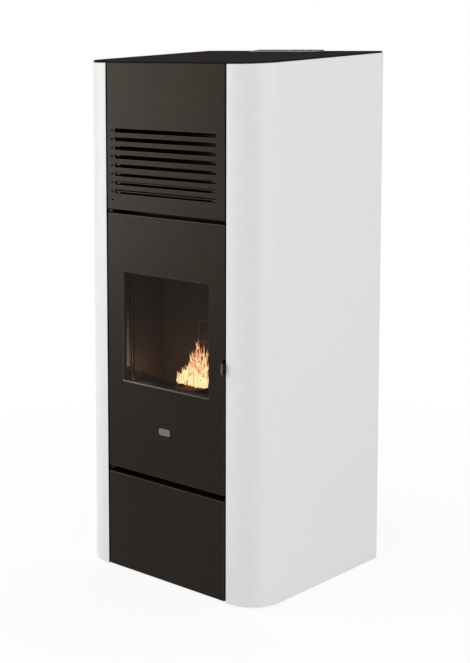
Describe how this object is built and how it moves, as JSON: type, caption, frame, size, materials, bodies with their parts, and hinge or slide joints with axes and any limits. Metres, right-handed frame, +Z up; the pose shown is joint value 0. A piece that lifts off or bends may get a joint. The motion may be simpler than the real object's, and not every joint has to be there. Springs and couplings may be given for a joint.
{
  "type": "pellet stove",
  "caption": "Free-standing pellet stove with white wrap-round side panels, dark front with window door, ash drawer, air outlet slots, top hopper lid, feed auger, fans and rear flue spigot.",
  "frame": {"origin": "on the floor under the middle of the casing's bounding box", "axes": "+Z up, the door faces -Y, and +X is to the right of someone who faces the door"},
  "size_m": [0.6, 0.52, 1.3385],
  "materials": {
    "white_paint": "smooth powder coat",
    "dark_paint": "fine textured dark brown-black coat",
    "top_paint": "fine textured near-black coat",
    "cast_iron": "bare cast iron",
    "bare_steel": "plain steel",
    "galvanised": "galvanised sheet",
    "lining": "fire lining board, sooty",
    "fire_glass": "clear ceramic glass, dark in front of the firebox",
    "rope": "woven fibre rope",
    "black_plastic": "moulded",
    "grey_trim": "satin grey",
    "board": "circuit board"
  },
  "bodies": {
    "casing": {"left_side_panel": "white_paint", "right_side_panel": "white_paint", "front_frame": "dark_paint", "upper_front_panel": "dark_paint", "outlet_louvre": "dark_paint", "flue_spigot": "dark_paint", "hinge_lower": "dark_paint", "hinge_upper": "dark_paint", "air_outlet_duct": "dark_paint", "top_plate": "top_paint", "firebox": "cast_iron", "hearth_plate": "cast_iron", "baffle": "cast_iron", "pot_holder": "cast_iron", "exhaust_fan_housing": "cast_iron", "pellet_chute": "cast_iron", "lid_hinge_pin": "bare_steel", "lever_keeper": "bare_steel", "igniter": "bare_steel", "auger_tube": "bare_steel", "base_plate": "galvanised", "rear_panel": "galvanised", "ash_chute": "galvanised", "air_intake_pipe": "galvanised", "hopper": "galvanised", "smoke_duct": "galvanised", "room_fan_housing": "galvanised", "liner_left": "lining", "liner_right": "lining", "liner_back": "lining", "display_window": "fire_glass", "foot_front_left": "black_plastic", "foot_front_right": "black_plastic", "foot_rear_left": "black_plastic", "foot_rear_right": "black_plastic", "auger_gearmotor": "black_plastic", "exhaust_motor": "black_plastic", "room_fan_motor": "black_plastic", "power_inlet": "black_plastic", "control_console": "grey_trim", "control_board": "board"},
    "door": {"door_panel": "dark_paint", "door_glass": "fire_glass", "glass_gasket": "rope", "door_frame": "cast_iron", "door_gasket": "rope", "badge_plate": "grey_trim"},
    "door_lever": {"door_handle": "dark_paint"},
    "lid": {"hopper_lid": "top_paint", "lid_seal": "rope"},
    "ash_pan": {"ash_drawer": "galvanised", "lower_front_panel": "dark_paint"},
    "pot": {"burn_pot": "cast_iron"},
    "auger": {"auger_screw": "bare_steel"},
    "smoke_wheel": {"exhaust_impeller": "bare_steel"},
    "room_wheel": {"room_fan_wheel": "black_plastic"},
    "rocker": {"power_switch": "black_plastic"},
    "button_power": {"power_button": "black_plastic"},
    "button_minus": {"minus_button": "black_plastic"},
    "button_plus": {"plus_button": "black_plastic"}
  },
  "joints": [
    {"name": "door_swing", "type": "hinge", "parent": "casing", "child": "door", "pos_m": [-0.189, -0.241, 0.2695], "axis": [0, 0, -1], "range_deg": [0, 95]},
    {"name": "lever_lift", "type": "hinge", "parent": "door", "child": "door_lever", "pos_m": [0.198, -0.238, 0.581], "axis": [-1, 0, 0], "range_deg": [0, 20]},
    {"name": "lid_lift", "type": "hinge", "parent": "casing", "child": "lid", "pos_m": [0, 0.17968, 1.32162], "axis": [-1, 0, 0], "range_deg": [0, 80]},
    {"name": "ash_pan_slide", "type": "slide", "parent": "casing", "child": "ash_pan", "axis": [0, -1, 0], "range_m": [0, 0.24]},
    {"name": "pot_lift", "type": "slide", "parent": "casing", "child": "pot", "axis": [0, 0, 1], "range_m": [0, 0.06]},
    {"name": "auger_turn", "type": "hinge", "parent": "casing", "child": "auger", "pos_m": [0, 0.118, 0.58], "axis": [0, -0.5, 0.866], "continuous": true},
    {"name": "smoke_wheel_turn", "type": "hinge", "parent": "casing", "child": "smoke_wheel", "pos_m": [-0.0757, 0.1, 0.226], "axis": [1, 0, 0], "continuous": true},
    {"name": "room_wheel_turn", "type": "hinge", "parent": "casing", "child": "room_wheel", "pos_m": [0.115, 0.11, 0.19], "axis": [1, 0, 0], "continuous": true},
    {"name": "rocker_tilt", "type": "hinge", "parent": "casing", "child": "rocker", "pos_m": [0.212, 0.2325, 0.106], "axis": [1, 0, 0], "range_deg": [-8, 8]},
    {"name": "power_press", "type": "slide", "parent": "casing", "child": "button_power", "axis": [0, 0.1227, -0.9924], "range_m": [0, 0.0012], "stiffness_N_per_m": 300},
    {"name": "minus_press", "type": "slide", "parent": "casing", "child": "button_minus", "axis": [0, 0.1227, -0.9924], "range_m": [0, 0.0012], "stiffness_N_per_m": 300},
    {"name": "plus_press", "type": "slide", "parent": "casing", "child": "button_plus", "axis": [0, 0.1227, -0.9924], "range_m": [0, 0.0012], "stiffness_N_per_m": 300}
  ]
}
